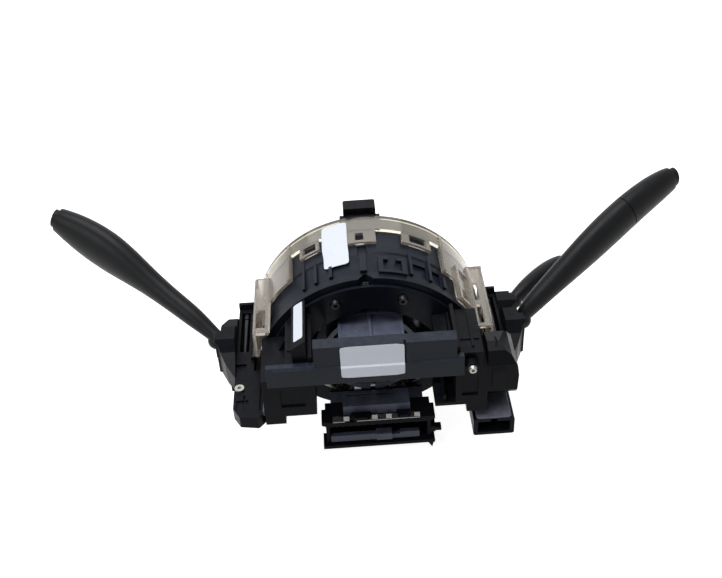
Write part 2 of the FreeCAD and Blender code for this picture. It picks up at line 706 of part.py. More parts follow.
# side rails with a channel for the guide rod and a chamfered end
def rail(screwPlace, back):
    outline = prismZ([
        (railInner, railFront),
        (railOuter, railFront),
        (railOuter, back - 6.0),
        (railOuter - 3.5, back),
        (cheekOuter + 3.4, back + 1.5),
        (cheekOuter, back - 2.5),
        (cheekOuter, archLength + plateThick + 0.2),
        (railInner, archLength + plateThick + 0.2),
    ], railTop - railThick, railTop)
    channel = box(railOuter - 6.4, railOuter - 1.6, railFront + 5.0, 37.0, railTop - 5.0, railTop + 1)
    step = box(railOuter - 5.6, railOuter + 1, 46.4, 57.0, railTop - railStep, railTop + 1)
    groove = box(cheekOuter + 1.8, cheekOuter + 3.0, 56.0, railBack - 4.0, railTop - 1.6, railTop + 1)
    groove2 = box(railOuter - 5.8, railOuter - 4.9, 69.5, railBack - 6.0, railTop - 1.2, railTop + 1)
    seat = box(railInner + 2.0, railOuter - 1.4, 73.0, 80.0, railTop - 1.0, railTop + 1)
    solid = outline.cut(channel).cut(step).cut(groove).cut(groove2).cut(seat)
    screwHole = Part.makeCylinder(railScrewRadius, 20, V(railScrewX, screwPlace, railTop - 10), V(0, 0, 1))
    ridge = box(railInner, railInner + 1.6, railFront, 44.0, railTop - 1, railTop + 2.2)
    underRail = railTop - railThick
    webFront = box(coverRadius - 1.4, railInner + 0.4, skirtLength + 1.0, 30.0, underRail, underRail + 1.6)
    webBack = box(coverRadius - 2.0, railInner + 0.4, 30.0, archLength + plateThick + 0.4, underRail,
                  underRail + 1.6)
    end = prismX([(railFront, railTop), (railFront, railTop + 3.4), (railFront + 1.8, railTop + 3.4),
                  (railFront + 2.6, railTop)],
                 railInner, railOuter)
    return joined([solid.cut(screwHole), ridge, end, webFront, webBack])


save("rail_left", rail(railScrewLeft, railBack))
save("rail_right", mirrored(rail(railScrewRight, railBackRight)))

rodX = railOuter - 4.0
rodSeat = railTop - 5.0
guideRod = rodY(rodRadius - 0.4, railFront + 8.0, 36.8, rodX, rodSeat + rodRadius)
guideRod = guideRod.fuse(rodY(rodRadius, railFront + 5.2, railFront + 9.0, rodX, rodSeat + rodRadius))
save("guide_rods", Part.Compound([guideRod, mirrored(guideRod)]))

# body screws: rail screws and the beam end screws, heads up
def screwZ(radius, headRadius, headHeight, x, y, z0, z1):
    shank = Part.makeCylinder(radius, z1 - z0, V(x, y, z0), V(0, 0, 1))
    head = Part.makeCylinder(headRadius, headHeight, V(x, y, z1), V(0, 0, 1))
    corners = [(x + 0.45 * headRadius * math.cos(i * math.pi / 3),
                y + 0.45 * headRadius * math.sin(i * math.pi / 3))
               for i in range(6)]
    socket = prismZ(corners, z1 + headHeight * 0.4, z1 + headHeight * 1.4)
    return shank.fuse(head).cut(socket)


bodyScrews = [
    screwZ(railScrewRadius - 0.05, 2.4, 1.5, railScrewX, railScrewLeft, railTop - railThick + 0.5, railTop),
    screwZ(railScrewRadius - 0.05, 2.4, 1.5, -railScrewX, railScrewRight, railTop - railThick + 0.5,
           railTop - railStep),
]
save("body_screws", Part.Compound(bodyScrews))

# corner block at the driver's left rear, with a rounded shoulder and a screw boss
cornerOut = railOuter - 1.0
cornerTop = cheekTop - 0.6
cornerFront = 58.0
cornerSide = prismX([
    (cornerFront, railTop),
    (cheekBack - 6.0, railTop),
    (cheekBack - 2.0, railTop + 3.0),
    (cheekBack, railTop + 6.0),
    (cheekBack, cornerTop - 9.0),
    (cheekBack - 3.0, cornerTop - 2.0),
    (cheekBack - 8.0, cornerTop),
    (cornerFront + 8.0, cornerTop - 3.0),
    (cornerFront, cornerTop - 14.0),
], -cornerOut, -cheekOuter)
cornerRound = prismY([
    (-cheekOuter, railTop - 1.0),
    (-cheekOuter, cornerTop + 1.0),
    (-cheekOuter - 6.0, cornerTop),
    (-cornerOut + 3.6, cornerTop - 4.6),
    (-cornerOut + 0.8, cornerTop - 10.0),
    (-cornerOut, cornerTop - 16.0),
    (-cornerOut + 0.6, railTop + 3.0),
    (-cornerOut + 2.4, railTop - 1.0),
], cornerFront - 1.0, cheekBack + 1.0)
corner = cornerSide.common(cornerRound)
cornerGroove = box(-cheekOuter - 4.0, -cheekOuter - 4.9, cornerFront - 1, cheekBack + 1, cornerTop - 1.4,
                   cornerTop + 2)
cornerPad = prismX([
    (cheekBack - 0.5, railTop + 8.0),
    (cheekBack + 1.2, railTop + 9.0),
    (cheekBack + 1.2, cornerTop - 12.0),
    (cheekBack - 0.5, cornerTop - 10.5),
], -cheekOuter - 8.5, -cheekOuter - 2.0)
save("corner_block", joined([corner.cut(cornerGroove), cornerPad]))
bossX = 8.2 - cheekOuter
bossZ = beamBottom + 4.0
boss = rodY(3.3, cheekBack, beamBack + 0.3, bossX, bossZ)
bossScrewHole = rodY(1.6, cheekBack - 1, beamBack + 2, bossX, bossZ)
save("corner_boss", boss.cut(bossScrewHole))
save("boss_screw", screwY(1.55, 2.2, 1.4, cheekBack + 0.3, beamBack + 0.3, bossX, bossZ))


# switch housings: a flared collar open outwards, with two bearings for the carrier
def switchHousing(centreY, centreZ, front, back, halfZ, spreadFront, spreadBack, below, bodyDrop):
    low = centreZ - below
    plan = [
        (railOuter, centreY - spreadFront),
        (railOuter + 2.6, centreY - spreadFront + 0.4),
        (collarOut - 1.6, centreY - front - collarLip - 0.6),
        (collarOut, centreY - front - collarLip + 0.8),
        (collarOut, centreY + back + collarLip - 0.6),
        (collarOut - 1.2, centreY + back + collarLip),
        (0.5 * (railOuter + collarOut), centreY + 0.5 * (back + collarLip + spreadBack) + 0.6),
        (railOuter, centreY + spreadBack),
    ]
    side = [
        (centreY - spreadFront, low),
        (centreY - spreadFront, centreZ - 1.6),
        (centreY - 0.8 * spreadFront, centreZ + 2.6),
        (centreY - front, centreZ + 4.2),
        (centreY - 0.4 * front, centreZ + halfZ + 0.6),
        (centreY + back, centreZ + halfZ + 0.9),
        (centreY + back + collarLip + 2.6, centreZ + 0.45 * halfZ),
        (centreY + spreadBack, centreZ - 1.8),
        (centreY + spreadBack, low),
    ]
    flare = prismZ(plan, low - 1.0, centreZ + 30.0).common(prismX(side, railOuter, collarOut + 1.0))
    underRail = railTop - railThick
    lowerBox = box(railInner, railOuter, centreY - min(front + 4.0, spreadFront),
                   centreY + min(back + 7.0, spreadBack),
                   underRail - bodyDrop, underRail)
    bridge = box(railOuter, collarOut - 5.0, centreY - front - 1.0, centreY + back + 4.0,
                 underRail - bodyDrop, low + 0.5)
    body = joined([flare, lowerBox, bridge])
    cavity = box(railOuter + 0.6, collarOut + 5, centreY - front, centreY + back, centreZ - halfZ,
                 centreZ + halfZ)
    relief = prismZ([
        (collarOut - 4.4, centreY - front + 0.1),
        (collarOut + 0.6, centreY - front - 3.8),
        (collarOut + 0.6, centreY - front + 0.1),
    ], centreZ - halfZ, centreZ + halfZ)
    upperRelief = box(collarOut - 2.6, collarOut + 1.0, centreY - front - 3.0, centreY + 0.2 * back,
                      centreZ + 0.5 * halfZ, centreZ + halfZ + 4.0)
    bearing = rodY(barrelRadius + pinFit, centreY - front - 2.2, centreY + back + 2.2, pivotOut, centreZ)
    return body.cut(cavity).cut(relief).cut(upperRelief).cut(bearing)


def largeHousing(spreadFront):
    return switchHousing(pivotY, pivotZ, mouthFront, mouthBack, mouthHalfZ, spreadFront, flareBack,
                         flareBelow, switchDrop)


save("wiper_switch_housing", largeHousing(flareFront))
save("indicator_switch_housing", mirrored(largeHousing(signFlareFront)))
save("cruise_switch_housing", mirrored(switchHousing(cruiseY, cruiseZ, cruiseMouthFront, cruiseMouthBack,
                                                     cruiseMouthZ,
                                                     cruiseFlareFront, cruiseFlareBack, cruiseFlareBelow,
                                                     cruiseDrop)))


# carrier: barrel across the housing and an upright pin for the stalk
def carrier(centreY, centreZ, front, back, pinHalf):
    barrel = rodY(barrelRadius, centreY - front - 1.9, centreY + back + 1.9, pivotOut, centreZ)
    upright = Part.makeCylinder(pinRadius, 2 * pinHalf, V(pivotOut, centreY, centreZ - pinHalf), V(0, 0, 1))
    return barrel.fuse(upright)


lugIn = barrelRadius + jointGap
pinHalf = 5.6
cruisePinHalf = 5.4
save("wiper_carrier", carrier(pivotY, pivotZ, mouthFront, mouthBack, pinHalf))
save("indicator_carrier", mirrored(carrier(pivotY, pivotZ, mouthFront, mouthBack, pinHalf)))
save("cruise_carrier", mirrored(carrier(cruiseY, cruiseZ, cruiseMouthFront, cruiseMouthBack,
                                        cruisePinHalf)))


def ellipseWire(centre, direction, halfUp, halfSide):
    direction = V(direction)
    direction.normalize()
    side = direction.cross(V(0, 0, 1))
    side.normalize()
    up = side.cross(direction)
    if halfUp >= halfSide:
        curve = Part.Ellipse(centre + up * halfUp, centre + side * halfSide, centre)
    else:
        curve = Part.Ellipse(centre + side * halfSide, centre + up * halfUp, centre)
    return Part.Wire([curve.toShape()])


def stalkLoft(points, sizes):
    # smooth loft through ellipses set square to a spline through the points
    curve = Part.BSplineCurve()
    curve.interpolate([V(*p) for p in points])
    wires = []
    for point, (halfUp, halfSide) in zip(points, sizes):
        tangent = curve.tangent(curve.parameter(V(*point)))[0]
        wires.append(ellipseWire(V(*point), tangent, halfUp, halfSide))
    return Part.makeLoft(wires, True, False)


def rootFork(centreY, centreZ, pinHalfLength, reach, knuckleRadius, knuckleAside, knuckleRise):
    # two lugs round the upright pin, joined outside the barrel
    lug = box(pivotOut - 3.0, pivotOut + reach, centreY - 3.6, centreY + 3.6,
              centreZ - pinHalfLength, centreZ + pinHalfLength)
    slot = box(pivotOut - 9, pivotOut + barrelRadius + 1.4, centreY - 9, centreY + 9, centreZ - lugIn,
               centreZ + lugIn)
    hole = Part.makeCylinder(pinRadius + pinFit, 40, V(pivotOut, centreY, centreZ - 20), V(0, 0, 1))
    knuckle = Part.makeSphere(knuckleRadius, V(pivotOut + barrelRadius + 2.8, centreY - knuckleAside,
                                               centreZ + knuckleRise))
    knuckle = knuckle.common(box(pivotOut + barrelRadius + 1.4, pivotOut + 20, -100, 100, -100, 100))
    return lug.cut(slot).cut(hole).fuse(knuckle)


def halfSpace(point, direction, flip):
    # large block on one side of a plane square to the direction
    direction = V(direction)
    direction.normalize()
    block = Part.makeBox(160, 160, 200, V(-80, -80, 0))
    turn = FreeCAD.Rotation(V(0, 0, 1), direction * (-1 if flip else 1))
    block.Placement = FreeCAD.Placement(V(point), turn)
    return block


def fromPivot(points, centreY, centreZ):
    return [(pivotOut + x, centreY + y, centreZ + z) for x, y, z in points]


def stalkWithCap(points, sizes, seamPoint, seamDirection, fork, halfUp, halfSide):
    # the tip is a push button let into the end of the stalk
    body = stalkLoft(points, sizes)
    tip = V(*seamDirection)
    tip.normalize()
    seam = V(*seamPoint)
    inset = 2.0
    inner = body.common(halfSpace(seam, tip, True))
    wellBase = seam - tip * (inset + capTravel + 0.4)
    well = Part.Face(ellipseWire(wellBase, tip, halfUp + buttonGap,
                                 halfSide + buttonGap)).extrude(tip * 40.0)
    stem = Part.Face(ellipseWire(seam - tip * inset, tip, halfUp, halfSide)).extrude(tip * 40.0)
    inner = inner.fuse(fork).removeSplitter().cut(well)
    return inner, body.common(stem)


def ringSeam(body, place, direction, width, depth, points, sizes):
    # thin groove round the stalk: a slab less the same slab of a slimmer stalk
    along = V(*direction)
    along.normalize()
    slab = halfSpace(V(*place), along, False).common(halfSpace(V(*place) + along * width, along, True))
    slimmer = stalkLoft(points, [(up - depth, side - depth) for up, side in sizes])
    return body.cut(slab.cut(slimmer))


# wiper stalk, driver's right: narrow neck, deep paddle, blunt tip; places from the pivot
buttonGap = 0.2
wiperPlaces = [(5.6, -3.8, 2.4), (16.4, -12.0, 9.2), (28.4, -20.6, 15.8), (43.4, -31.0, 24.2),
               (58.9, -40.8, 33.2), (73.4, -48.4, 41.4), (84.2, -53.0, 47.7), (90.0, -55.4, 50.4)]
wiperSizes = [(3.9, 3.7), (5.5, 5.0), (6.5, 5.6), (9.0, 6.6),
              (12.6, 7.8), (12.0, 7.4), (8.9, 6.1), (6.6, 4.8)]
wiperPoints = fromPivot(wiperPlaces, pivotY, pivotZ)
wiperFork = rootFork(pivotY, pivotZ, pinHalf, 6.0, 4.7, 2.2, 1.4)
wiperSeam = fromPivot([(88.0, -54.55, 49.45)], pivotY, pivotZ)[0]
wiperAxis = (5.8, -2.4, 2.7)
wiperStalk, wiperCap = stalkWithCap(wiperPoints, wiperSizes, wiperSeam, wiperAxis, wiperFork, 5.8, 4.0)
save("wiper_stalk", wiperStalk)
save("wiper_end_cap", wiperCap)

# indicator stalk, driver's left
signPlaces = [(5.6, -3.6, 2.6), (17.4, -10.4, 12.0), (31.8, -18.6, 21.4), (48.4, -28.2, 31.8),
              (63.4, -37.2, 40.0), (75.9, -44.6, 45.5), (87.9, -51.4, 49.4), (94.6, -55.2, 50.6)]
signSizes = [(3.9, 3.7), (6.2, 5.4), (8.2, 6.4), (10.2, 7.2), (10.4, 7.4), (9.8, 7.0), (8.2, 6.0),
             (6.4, 4.7)]
signPoints = fromPivot(signPlaces, pivotY, pivotZ)
signFork = rootFork(pivotY, pivotZ, pinHalf, 6.0, 4.7, 2.2, 1.4)
signSeam = fromPivot([(92.0, -53.6, 50.2)], pivotY, pivotZ)[0]
signAxis = (6.7, -3.6, 1.5)
signStalk, signCap = stalkWithCap(signPoints, signSizes, signSeam, signAxis, signFork, 5.7, 4.1)
signRing = fromPivot([(65.4, -38.4, 40.8)], pivotY, pivotZ)[0]
signStalk = ringSeam(signStalk, signRing, (14.8, -8.8, 6.4), 0.6, 0.5, signPoints, signSizes)
save("indicator_stalk", mirrored(signStalk))
save("indicator_end_cap", mirrored(signCap))

# cruise stalk, shorter, in front of the indicator stalk
cruisePlaces = [(5.6, -1.9, 1.6), (10.8, -5.9, 3.2), (17.4, -11.5, 3.6), (25.9, -18.9, 3.6),
                (33.9, -26.1, 3.2), (38.9, -30.9, 2.6)]
cruiseSizes = [(3.8, 3.6), (5.2, 4.6), (6.8, 5.6), (7.6, 6.0), (6.8, 5.2), (4.8, 3.8)]
cruisePoints = fromPivot(cruisePlaces, cruiseY, cruiseZ)
cruiseFork = rootFork(cruiseY, cruiseZ, cruisePinHalf, 6.0, 4.1, 1.0, 1.2)
cruiseSeam = fromPivot([(36.9, -29.0, 2.85)], cruiseY, cruiseZ)[0]
cruiseAxis = (5.0, -4.8, -0.6)
cruiseStalk, cruiseCap = stalkWithCap(cruisePoints, cruiseSizes, cruiseSeam, cruiseAxis, cruiseFork, 4.4,
                                      3.2)
save("cruise_stalk", mirrored(cruiseStalk))
save("cruise_end_button", mirrored(cruiseCap))

# electronics box under the collar: shell open towards the ring, with a deck over the connector
trayShell = box(trayLeft, trayRight, trayFront, trayBack, trayBottom, trayTop)
trayHollow = box(trayLeft - sheet, trayRight + sheet, trayFront - 1, trayBack - sheet,
                 trayBottom + sheet, trayTop - sheet)
riser = box(deckLeft, deckRight, trayBack - 1.0, trayBack + 0.2, trayTop - 1.0, deckTop)
deck = box(deckLeft, deckRight, trayBack - 1.0, connBack - deckShort, connTop, deckTop)
deckGroove = box(deckLeft - 2.0, deckRight + 8.0, trayBack + 1.6, trayBack + 2.6, deckTop - 0.8,
                 deckTop + 1)
tray = joined([trayShell.cut(trayHollow), riser, deck]).cut(deckGroove)
save("electronics_box", tray)

boardY = trayFront + 2.4
board = box(trayLeft - sheet - 0.1, trayRight + sheet + 0.1, boardY, boardY + boardThick,
            trayBottom + sheet + 0.1, trayTop - sheet - 0.1)
chips = []
for x, size in [(14.0, 5.0), (2.0, 7.0), (-13.0, 6.0)]:
    chips.append(box(x - 0.5 * size, x + 0.5 * size, boardY + boardThick, boardY + boardThick + 1.2,
                     trayTop - 9.4, trayTop - 9.4 + 0.8 * size))
save("circuit_board", joined([board] + chips))

# lid between the ring and the box, with ribs and two legs to the bearing floor
lid = box(trayLeft, trayRight, trayFront - lidThick, trayFront, trayBottom, trayTop)
lidParts = [lid]
for i in range(5):
    x = trayLeft - 6.0 - i * 9.4
    lidParts.append(box(x, x - 1.4, trayFront - lidThick - 1.2, trayFront - lidThick,
                        trayBottom + 2.0, trayBottom + 9.0))
for x in (trayLeft - 5.0, trayRight + 5.0):
    lidParts.append(box(x - 4.0, x + 4.0, ringLength, trayFront - lidThick + 0.1,
                        trayBottom - 0.5, trayBottom + 4.2))
    lidParts.append(box(x - 2.0, x + 2.0, trayFront, boardY, trayBottom + 4.0, trayTop - 4.0))
save("box_lid", joined(lidParts))

# main connector: flanged shroud open towards the column side
connBottom = connTop - connHeight
shroud = box(connLeft - 2.0, connRight + 2.0, connFront, connBack - 1.0, connBottom + 1.0, connTop)
topFlange = prismY([(connLeft, connTop), (connRight, connTop), (connRight, connTop - flangeThick),
                    (connRight + 3.0, connTop - flangeThick - 1.4),
                    (connLeft - 3.0, connTop - flangeThick - 1.4),
                    (connLeft, connTop - flangeThick)], connBack - 9.0, connBack + 1.0)
lowFlange = box(connLeft, connRight, connBack - 9.0, connBack + 1.0, connBottom, connBottom + flangeThick)
cavityTop = connTop - flangeThick - 2.2
cavityBottom = connBottom + flangeThick + 1.6
cavity = box(connLeft - 4.0, connRight + 4.0, connBack - 9.0, connBack + 3.0, cavityBottom, cavityTop)
divider = box(-1.6, -4.2, connBack - 9.5, connBack - 3.2, cavityBottom - 0.5, cavityTop + 0.5)
tip = prismY([(connRight + 0.2, connBottom + flangeThick), (connRight + 5.0, connBottom + flangeThick),
              (connRight + 1.6, connBottom - 3.6)], connBack - 2.0, connBack + 1.0)
tab = box(connRight, connRight - 3.4, connBack - 3.0, connBack + 1.0, connTop - 11.5, connTop - 9.3)
tabRoot = box(connRight + 2.1, connRight - 0.2, connBack - 8.0, connBack + 1.0, connTop - 12.2,
              connTop - 8.4)
connector = joined([shroud, topFlange, lowFlange, tip, tab, tabRoot]).cut(cavity)
connector = joined([connector, divider])
stripeCut = box(connLeft - 5.4, connRight + 7.4, connBack - deckShort, connBack + 2, connTop - 0.9,
                connTop + 1)
connector = connector.cut(stripeCut)
save("main_connector", connector)

connPins = []
pinY0 = connBack - 9.0
for row in (0, 1):
    for i in range(12):
        x = connLeft - 7.5 - i * pinPitch
        if abs(x + 2.9) > 3.0:
            z = cavityTop - 1.8 - row * 3.2
            connPins.append(box(x - 0.35, x + 0.35, pinY0, pinY0 + 4.2, z - 0.35, z + 0.35))
save("connector_pins", Part.Compound(connPins))

# sliding lock bar in the connector mouth, with a grip in the middle
lockZ = cavityBottom + 1.0
lockTop = lockZ + 3.6
lock = box(connLeft - 4.4, connRight + 4.4 + lockTravel, connBack - 2.8, connBack - 0.2,
           cavityBottom + 0.3, lockTop)
lockCut = box(-8.5, -13.0, connBack - 4, connBack + 1, lockZ + 2.4, lockTop + 1)
grip = box(-0.2, -8.6, connBack - 2.8, connBack + 1.6, lockZ + 0.4, lockTop + 1.4)
lock = joined([lock.cut(lockCut), grip])
save("connector_lock", lock)

# bright shield strip on the upper flange
strip = box(connLeft - 6.0, connRight + 8.0, connBack - deckShort + 0.3, connBack + 0.8, connTop - 0.9,
            connTop - 0.3)
strip = strip.cut(box(10.0, 16.5, connBack - 1.4, connBack + 2, connTop - 1, connTop + 2))
springs = []
for i in range(6):
    x = connLeft - 12.0 - i * 7.6
    springs.append(prismX([(connBack - 3.1, connTop - 0.4), (connBack - 1.4, connTop + 1.2),
                           (connBack + 0.4, connTop - 0.4)], x, x - 3.0))
save("shield_strip", joined([strip] + springs))

# side socket below the corner block
socket = box(socketLeft, socketRight, socketFront, socketBack, socketTop - socketHeight, socketTop)
socket = softened(socket, 1.2, lambda e: abs(e.tangentAt(e.FirstParameter).y) > 0.9)
mouth = box(socketLeft - 2.2, socketRight + 2.2, socketFront + 6.0, socketBack + 1,
            socketTop - socketHeight + 1.8, socketTop - 1.8)
keyMid = 0.5 * (socketLeft + socketRight)
key = box(keyMid + 1.6, keyMid - 1.6, socketFront + 10.0, socketBack + 1, socketTop - 3, socketTop + 1)
neckBlock = box(-railInner - 1.0, socketRight + 0.5, socketFront, socketFront + 5.0, socketTop - 0.5,
                railTop - railThick)
neckInner = box(-cheekOuter, -railInner - 0.5, socketFront, socketFront + 3.0, socketTop - 0.5,
                railTop - railThick)
save("side_socket", joined([socket.cut(mouth).cut(key), neckBlock, neckInner]))
sidePins = []
for row in (0, 1):
    for i in range(4):
        x = socketLeft - 3.6 - i * 3.4
        z = socketTop - 3.9 - row * 3.2
        sidePins.append(box(x - 0.4, x + 0.4, socketFront + 6.0, socketFront + 12.0, z - 0.4, z + 0.4))
save("side_socket_pins", Part.Compound(sidePins))
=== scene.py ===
import json
import math

import bmesh
import bpy
from mathutils import Matrix, Vector


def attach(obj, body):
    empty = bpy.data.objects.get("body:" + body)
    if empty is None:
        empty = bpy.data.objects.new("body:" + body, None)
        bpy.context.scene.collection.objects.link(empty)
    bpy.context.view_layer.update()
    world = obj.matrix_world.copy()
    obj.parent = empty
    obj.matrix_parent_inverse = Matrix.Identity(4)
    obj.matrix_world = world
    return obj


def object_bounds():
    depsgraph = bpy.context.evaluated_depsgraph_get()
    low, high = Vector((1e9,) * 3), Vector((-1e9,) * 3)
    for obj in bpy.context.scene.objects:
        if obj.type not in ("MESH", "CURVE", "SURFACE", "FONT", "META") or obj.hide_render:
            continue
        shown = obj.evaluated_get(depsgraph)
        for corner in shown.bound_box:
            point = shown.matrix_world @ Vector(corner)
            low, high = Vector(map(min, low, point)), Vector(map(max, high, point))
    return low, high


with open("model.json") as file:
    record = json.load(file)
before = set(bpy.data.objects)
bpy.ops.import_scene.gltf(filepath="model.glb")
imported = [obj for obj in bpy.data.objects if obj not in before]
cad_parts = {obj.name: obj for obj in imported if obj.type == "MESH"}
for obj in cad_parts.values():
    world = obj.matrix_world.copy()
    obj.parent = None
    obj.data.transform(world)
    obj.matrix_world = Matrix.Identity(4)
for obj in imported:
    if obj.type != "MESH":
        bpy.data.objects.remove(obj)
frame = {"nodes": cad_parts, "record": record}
cadLow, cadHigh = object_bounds()
scene = bpy.context.scene
mm = 0.001
print("frame loaded:", len(frame["nodes"]), "nodes")


def linearColour(hexColour):
    # sRGB hex to the linear values that Blender mixes in
    values = []
    for start in (1, 3, 5):
        c = int(hexColour[start:start + 2], 16) / 255
        values.append(c / 12.92 if c <= 0.04045 else ((c + 0.055) / 1.055) ** 2.4)
    return (*values, 1.0)


def addNode(tree, kind, settings=None, links=None):
    # settings go to the node's fields or sockets, links are socket: source
    # a Mix node's factor is socket 0, its two colours are 6 and 7, and its result is output 2
    node = tree.nodes.new(kind)
    for name, value in (settings or {}).items():
        if isinstance(name, str) and hasattr(node, name):
            setattr(node, name, value)
        else:
            node.inputs[name].default_value = value
    for name, source in (links or {}).items():
        tree.links.new(source, node.inputs[name])
    return node


def newMaterial(name):
    material = bpy.data.materials.new(name)
    material.use_nodes = True
    material.node_tree.nodes.clear()
    return material, material.node_tree


# injection-moulded plastic, from spark-eroded tools
mouldedFinish = {
    "grainMm": 0.45,        # spark texture, drawn twice as coarse as it is so that it shows
    "grainHeight": 0.00003,  # metres
    "waveMm": 14.0,         # slow sink and flow variation over a moulding
    "patchMm": 5.0,
    "edgeMm": 0.35,         # moulded edges are never sharp, they catch a thin line of light
}


def mouldedPlastic(name, base, pale, dustAndPaintedLight, dustAndPaintedLightAmount, rough, gloss=0.16, grainMm=mouldedFinish["grainMm"]):
    # PA or ABS: a satin surface, uneven over each moulding, paler on top from dust and from painted light
    # falling from above
    material, tree = newMaterial(name)
    place = addNode(tree, "ShaderNodeTexCoord")
    grain = addNode(tree, "ShaderNodeTexNoise",
                    {"Scale": 1 / (grainMm * mm), "Detail": 2.0, "Roughness": 0.55},
                    {"Vector": place.outputs["Object"]})
    wave = addNode(tree, "ShaderNodeTexNoise",
                   {"Scale": 1 / (mouldedFinish["waveMm"] * mm), "Detail": 3.0, "Roughness": 0.5},
                   {"Vector": place.outputs["Object"]})
    patchNoise = addNode(tree, "ShaderNodeTexNoise",
                    {"Scale": 1 / (mouldedFinish["patchMm"] * mm), "Detail": 6.0, "Roughness": 0.7},
                    {"Vector": place.outputs["Object"]})
    tone = addNode(tree, "ShaderNodeMix", {"data_type": "RGBA", 6: linearColour(base), 7: linearColour(pale)},
                   {0: wave.outputs["Fac"]})
    # upward faces are painted paler: partly dust, partly painted light from above
    geometry = addNode(tree, "ShaderNodeNewGeometry")
    split = addNode(tree, "ShaderNodeSeparateXYZ", {}, {0: geometry.outputs["Normal"]})
    facing = addNode(tree, "ShaderNodeMapRange",
                     {"From Min": 0.25, "From Max": 1.0, "To Min": 0.0, "To Max": dustAndPaintedLightAmount},
                     {"Value": split.outputs["Z"]})
    patchy = addNode(tree, "ShaderNodeMapRange",
                     {"From Min": 0.38, "From Max": 0.68, "To Min": 0.25, "To Max": 1.0},
                     {"Value": patchNoise.outputs["Fac"]})
    cover = addNode(tree, "ShaderNodeMath", {"operation": "MULTIPLY"},
                    {0: facing.outputs["Result"], 1: patchy.outputs["Result"]})
    dustAndPaintedLightTone = addNode(tree, "ShaderNodeMix", {"data_type": "RGBA", 7: linearColour(dustAndPaintedLight)},
                    {0: cover.outputs[0], 6: tone.outputs[2]})
    satin = addNode(tree, "ShaderNodeMapRange",
                    {"From Min": 0.3, "From Max": 0.7, "To Min": rough[0], "To Max": rough[1]},
                    {"Value": patchNoise.outputs["Fac"]})
    soft = addNode(tree, "ShaderNodeBevel", {"samples": 4, "Radius": mouldedFinish["edgeMm"] * mm})
    bump = addNode(tree, "ShaderNodeBump", {"Strength": 0.35, "Distance": mouldedFinish["grainHeight"]},
                   {"Height": grain.outputs["Fac"], "Normal": soft.outputs["Normal"]})
    shader = addNode(tree, "ShaderNodeBsdfPrincipled", {"IOR": 1.5, "Specular IOR Level": gloss},
                     {"Base Color": dustAndPaintedLightTone.outputs[2], "Roughness": satin.outputs["Result"],
                      "Normal": bump.outputs["Normal"]})
    addNode(tree, "ShaderNodeOutputMaterial", {}, {"Surface": shader.outputs[0]})
    return material


# the rails, cheeks and connectors: almost black, only their edges show
blackNylon = mouldedPlastic("blackNylonSatin", base="#08090c", pale="#0e0f13", dustAndPaintedLight="#3b3d45",
                            dustAndPaintedLightAmount=0.14, rough=(0.26, 0.42), gloss=0.05)
# the drum: black with a blue cast, a little glossier
drumNylon = mouldedPlastic("blueBlackNylon", base="#0a0d13", pale="#12161e", dustAndPaintedLight="#3a4252",
                           dustAndPaintedLightAmount=0.24, rough=(0.28, 0.44), gloss=0.09)
# the bridge beam: black plastic painted lighter than what is round it, painted light on its face towards the
# camera
beamPaintedLightNylon = mouldedPlastic("blackNylonPaintedLight", base="#0f131a", pale="#181e28", dustAndPaintedLight="#4c5364",
                           dustAndPaintedLightAmount=0.26, rough=(0.28, 0.44), gloss=0.12)
# the shelf and the electronics box: black plastic painted blue grey, a painted reflection of the lamps on
# their level faces
greyPaintedLightNylon = mouldedPlastic("greyNylonPaintedLight", base="#3a3e4d", pale="#484c5d", dustAndPaintedLight="#7c8296",
                           dustAndPaintedLightAmount=0.3, rough=(0.32, 0.48), gloss=0.3)
# the side socket's lid: black plastic painted the palest grey, a painted reflection of the lamps on its top
palePaintedReflectionNylon = mouldedPlastic("greyNylonPaintedReflection", base="#4e515d", pale="#626573", dustAndPaintedLight="#898c9d",
                            dustAndPaintedLightAmount=0.4, rough=(0.36, 0.5), gloss=0.2)
# the stalks: warm black with a finer grain, soft broad highlights
stalkGrip = mouldedPlastic("stalkSoftTexture", base="#0a0b0d", pale="#111214", dustAndPaintedLight="#2e2f34",
                           dustAndPaintedLightAmount=0.16, rough=(0.32, 0.46), gloss=0.13, grainMm=0.32)
# the airbag plug's housing: the one bright colour
yellowPbt = mouldedPlastic("yellowPbt", base="#c9940f", pale="#d6a624", dustAndPaintedLight="#c9bb90",
                           dustAndPaintedLightAmount=0.25, rough=(0.35, 0.5))

# polycarbonate cover: clear with a faint yellow cast, its fine scratches soften what is behind it
scratches = {"mm": 3.0, "squeeze": 0.12}


def clearPolycarbonate(name, tint, deep, clearness, rough, gloss):
    # the scratches are drawn out along the drum's axis, and vary both the tint and the haze
    material, tree = newMaterial(name)
    place = addNode(tree, "ShaderNodeTexCoord")
    stretch = addNode(tree, "ShaderNodeMapping", {"Scale": (1.0, scratches["squeeze"], 1.0)},
                      {"Vector": place.outputs["Object"]})
    scratch = addNode(tree, "ShaderNodeTexNoise",
                      {"Scale": 1 / (scratches["mm"] * mm), "Detail": 8.0, "Roughness": 0.7},
                      {"Vector": stretch.outputs["Vector"]})
    tone = addNode(tree, "ShaderNodeMix", {"data_type": "RGBA", 6: linearColour(tint), 7: linearColour(deep)},
                   {0: scratch.outputs["Fac"]})
    haze = addNode(tree, "ShaderNodeMapRange",
                   {"From Min": 0.3, "From Max": 0.7, "To Min": rough[0], "To Max": rough[1]},
                   {"Value": scratch.outputs["Fac"]})
    clear = addNode(tree, "ShaderNodeBsdfPrincipled",
                    {"IOR": 1.58, "Transmission Weight": clearness, "Specular IOR Level": gloss},
                    {"Base Color": tone.outputs[2], "Roughness": haze.outputs["Result"]})
    addNode(tree, "ShaderNodeOutputMaterial", {}, {"Surface": clear.outputs[0]})
    return material


